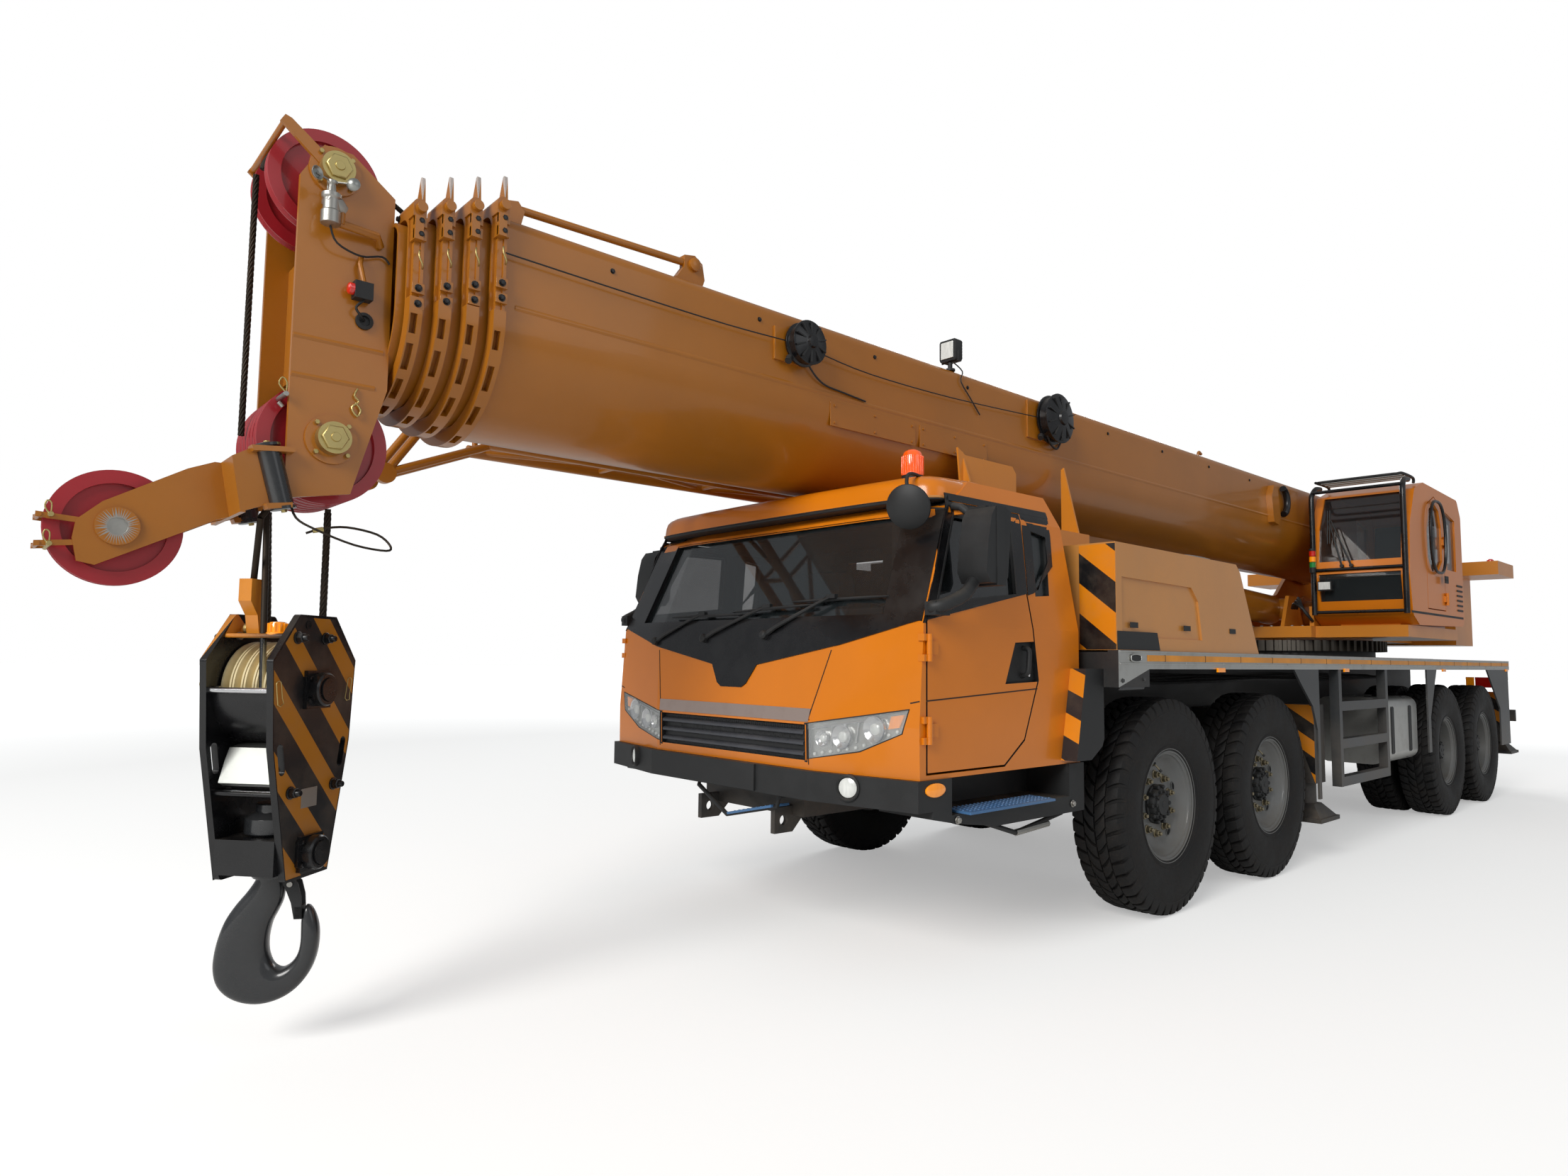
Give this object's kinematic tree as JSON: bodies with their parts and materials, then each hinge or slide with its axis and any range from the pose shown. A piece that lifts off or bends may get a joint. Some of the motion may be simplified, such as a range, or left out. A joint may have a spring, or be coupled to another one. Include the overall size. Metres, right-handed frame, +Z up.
{
  "type": "mobile crane",
  "caption": "Truck crane on steered and driven axles, with a slewing turntable, operator's cab, telescopic boom, stowed lattice jib, outriggers and a hook block",
  "frame": {"origin": "on the ground under the middle of the crane's length and width", "axes": "+X forward, +Y to the crane's left, +Z up"},
  "size_m": [14.278, 2.8, 3.4],
  "materials": {
    "cab_paint": "glossy amber-orange paint",
    "boom_paint": "satin ochre-orange paint, dusty",
    "dark_paint": "satin dark grey chassis paint",
    "black_plastic": "grained black plastic",
    "tyre": "worn black tread rubber",
    "rim_paint": "grey wheel paint, dusty",
    "steel": "machined steel",
    "glass": "tinted glass",
    "sheave_red": "moulded red nylon sheaves",
    "aluminium": "bare aluminium",
    "hook_black": "black forged hook"
  },
  "bodies": {
    "chassis": {"chassis_frame": "dark_paint", "deck": "aluminium", "axles": "dark_paint", "side_frames": "dark_paint", "fuel_tank": "aluminium", "cab_shell": "cab_paint", "cab_glass": "glass", "cab_trim": "black_plastic", "hoods": "cab_paint", "engine": "dark_paint", "slewing_ring": "dark_paint"},
    "knuckle_1_left": {"knuckle_1_left": "dark_paint"},
    "knuckle_1_right": {"knuckle_1_right": "dark_paint"},
    "knuckle_2_left": {"knuckle_2_left": "dark_paint"},
    "knuckle_2_right": {"knuckle_2_right": "dark_paint"},
    "wheel_1_left": {"tyre_1_left": "tyre", "rim_1_left": "rim_paint"},
    "wheel_1_right": {"tyre_1_right": "tyre", "rim_1_right": "rim_paint"},
    "wheel_2_left": {"tyre_2_left": "tyre", "rim_2_left": "rim_paint"},
    "wheel_2_right": {"tyre_2_right": "tyre", "rim_2_right": "rim_paint"},
    "wheel_3_left": {"tyre_3_left": "tyre", "rim_3_left": "rim_paint"},
    "wheel_3_right": {"tyre_3_right": "tyre", "rim_3_right": "rim_paint"},
    "wheel_4_left": {"tyre_4_left": "tyre", "rim_4_left": "rim_paint"},
    "wheel_4_right": {"tyre_4_right": "tyre", "rim_4_right": "rim_paint"},
    "door_left": {"door_left": "cab_paint", "door_glass_left": "glass"},
    "door_right": {"door_right": "cab_paint", "door_glass_right": "glass"},
    "outrigger_front_left": {"outrigger_front_left": "dark_paint"},
    "jack_front_left": {"jack_front_left": "dark_paint"},
    "outrigger_front_right": {"outrigger_front_right": "dark_paint"},
    "jack_front_right": {"jack_front_right": "dark_paint"},
    "outrigger_rear_left": {"outrigger_rear_left": "dark_paint"},
    "jack_rear_left": {"jack_rear_left": "dark_paint"},
    "outrigger_rear_right": {"outrigger_rear_right": "dark_paint"},
    "jack_rear_right": {"jack_rear_right": "dark_paint"},
    "turntable": {"turntable": "cab_paint", "counterweight": "cab_paint", "operator_cab": "cab_paint", "operator_glass": "glass"},
    "operator_door": {"operator_door": "cab_paint", "operator_door_glass": "glass"},
    "boom_1": {"boom_1": "boom_paint", "jib": "boom_paint"},
    "lift_barrel": {"lift_barrel": "boom_paint"},
    "lift_rod": {"lift_rod": "steel"},
    "boom_2": {"boom_2": "boom_paint"},
    "boom_3": {"boom_3": "boom_paint"},
    "boom_4": {"boom_4": "boom_paint"},
    "boom_head": {"boom_head": "boom_paint", "head_sheaves": "sheave_red"},
    "hook_block": {"hook_block": "cab_paint"},
    "hook": {"hook": "hook_black"}
  },
  "joints": [
    {"name": "steer_1_left", "type": "hinge", "parent": "chassis", "child": "knuckle_1_left", "pos_m": [2.08, 0.93, 0.613], "axis": [0, 0, 1], "range_deg": [-32, 32]},
    {"name": "steer_1_right", "type": "hinge", "parent": "chassis", "child": "knuckle_1_right", "pos_m": [2.08, -0.93, 0.613], "axis": [0, 0, 1], "range_deg": [-32, 32]},
    {"name": "steer_2_left", "type": "hinge", "parent": "chassis", "child": "knuckle_2_left", "pos_m": [0.63, 0.93, 0.613], "axis": [0, 0, 1], "range_deg": [-25.6, 25.6]},
    {"name": "steer_2_right", "type": "hinge", "parent": "chassis", "child": "knuckle_2_right", "pos_m": [0.63, -0.93, 0.613], "axis": [0, 0, 1], "range_deg": [-25.6, 25.6]},
    {"name": "spin_1_left", "type": "hinge", "parent": "knuckle_1_left", "child": "wheel_1_left", "pos_m": [2.08, 1.152, 0.613], "axis": [0, 1, 0], "continuous": true},
    {"name": "spin_1_right", "type": "hinge", "parent": "knuckle_1_right", "child": "wheel_1_right", "pos_m": [2.08, -1.152, 0.613], "axis": [0, 1, 0], "continuous": true},
    {"name": "spin_2_left", "type": "hinge", "parent": "knuckle_2_left", "child": "wheel_2_left", "pos_m": [0.63, 1.152, 0.613], "axis": [0, 1, 0], "continuous": true},
    {"name": "spin_2_right", "type": "hinge", "parent": "knuckle_2_right", "child": "wheel_2_right", "pos_m": [0.63, -1.152, 0.613], "axis": [0, 1, 0], "continuous": true},
    {"name": "spin_3_left", "type": "hinge", "parent": "chassis", "child": "wheel_3_left", "pos_m": [-3.5, 1.0375, 0.613], "axis": [0, 1, 0], "continuous": true},
    {"name": "spin_3_right", "type": "hinge", "parent": "chassis", "child": "wheel_3_right", "pos_m": [-3.5, -1.0375, 0.613], "axis": [0, 1, 0], "continuous": true},
    {"name": "spin_4_left", "type": "hinge", "parent": "chassis", "child": "wheel_4_left", "pos_m": [-4.9, 1.0375, 0.613], "axis": [0, 1, 0], "continuous": true},
    {"name": "spin_4_right", "type": "hinge", "parent": "chassis", "child": "wheel_4_right", "pos_m": [-4.9, -1.0375, 0.613], "axis": [0, 1, 0], "continuous": true},
    {"name": "door_left_swing", "type": "hinge", "parent": "chassis", "child": "door_left", "pos_m": [4.145, 1.216, 1.3], "axis": [0, 0, -1], "range_deg": [0, 68]},
    {"name": "door_right_swing", "type": "hinge", "parent": "chassis", "child": "door_right", "pos_m": [4.145, -1.216, 1.3], "axis": [0, 0, 1], "range_deg": [0, 68]},
    {"name": "outrigger_front_left_slide", "type": "slide", "parent": "chassis", "child": "outrigger_front_left", "axis": [0, 1, 0], "range_m": [0, 1.6]},
    {"name": "jack_front_left_slide", "type": "slide", "parent": "outrigger_front_left", "child": "jack_front_left", "axis": [0, 0, -1], "range_m": [0, 0.5]},
    {"name": "outrigger_front_right_slide", "type": "slide", "parent": "chassis", "child": "outrigger_front_right", "axis": [0, -1, 0], "range_m": [0, 1.6]},
    {"name": "jack_front_right_slide", "type": "slide", "parent": "outrigger_front_right", "child": "jack_front_right", "axis": [0, 0, -1], "range_m": [0, 0.5]},
    {"name": "outrigger_rear_left_slide", "type": "slide", "parent": "chassis", "child": "outrigger_rear_left", "axis": [0, 1, 0], "range_m": [0, 1.6]},
    {"name": "jack_rear_left_slide", "type": "slide", "parent": "outrigger_rear_left", "child": "jack_rear_left", "axis": [0, 0, -1], "range_m": [0, 0.5]},
    {"name": "outrigger_rear_right_slide", "type": "slide", "parent": "chassis", "child": "outrigger_rear_right", "axis": [0, -1, 0], "range_m": [0, 1.6]},
    {"name": "jack_rear_right_slide", "type": "slide", "parent": "outrigger_rear_right", "child": "jack_rear_right", "axis": [0, 0, -1], "range_m": [0, 0.5]},
    {"name": "slew", "type": "hinge", "parent": "chassis", "child": "turntable", "pos_m": [-3.32, 0, 1.69], "axis": [0, 0, 1], "continuous": true},
    {"name": "operator_door_swing", "type": "hinge", "parent": "turntable", "child": "operator_door", "pos_m": [-3.635, 1.361, 2.3], "axis": [0, 0, 1], "range_deg": [0, 90]},
    {"name": "luff", "type": "hinge", "parent": "turntable", "child": "boom_1", "pos_m": [-5.12, 0, 2.6], "axis": [0, -1, 0], "range_deg": [0, 80]},
    {"name": "lift_barrel_swing", "type": "hinge", "parent": "turntable", "child": "lift_barrel", "pos_m": [-2.82, 0, 1.985], "axis": [0, -1, 0], "range_deg": [0, 94.66]},
    {"name": "lift_rod_slide", "type": "slide", "parent": "lift_barrel", "child": "lift_rod", "axis": [0.999, 0, 0.0445], "range_m": [0, 2.79434]},
    {"name": "extend_boom_2", "type": "slide", "parent": "boom_1", "child": "boom_2", "axis": [1, 0, 0], "range_m": [0, 8.2]},
    {"name": "extend_boom_3", "type": "slide", "parent": "boom_2", "child": "boom_3", "axis": [1, 0, 0], "range_m": [0, 8.2]},
    {"name": "extend_boom_4", "type": "slide", "parent": "boom_3", "child": "boom_4", "axis": [1, 0, 0], "range_m": [0, 8.2]},
    {"name": "extend_boom_head", "type": "slide", "parent": "boom_4", "child": "boom_head", "axis": [1, 0, 0], "range_m": [0, 8.2]},
    {"name": "hook_block_swing", "type": "hinge", "parent": "boom_head", "child": "hook_block", "pos_m": [6.345, 0, 2.2], "axis": [0, -1, 0], "range_deg": [-80, 0]},
    {"name": "hook_swivel", "type": "hinge", "parent": "hook_block", "child": "hook", "pos_m": [6.41, 0, 0.6], "axis": [0, 0, 1], "continuous": true}
  ],
  "couplings": [
    {"joint": "steer_1_right", "follows": "steer_1_left", "ratio": 1},
    {"joint": "steer_2_left", "follows": "steer_1_left", "ratio": 0.8},
    {"joint": "steer_2_right", "follows": "steer_1_left", "ratio": 0.8},
    {"joint": "lift_barrel_swing", "follows": "luff", "ratio": 1.1832},
    {"joint": "lift_rod_slide", "follows": "luff", "m_per_rad": 2.0006},
    {"joint": "extend_boom_3", "follows": "extend_boom_2", "ratio": 1},
    {"joint": "extend_boom_4", "follows": "extend_boom_2", "ratio": 1},
    {"joint": "extend_boom_head", "follows": "extend_boom_2", "ratio": 1},
    {"joint": "hook_block_swing", "follows": "luff", "ratio": -1}
  ]
}
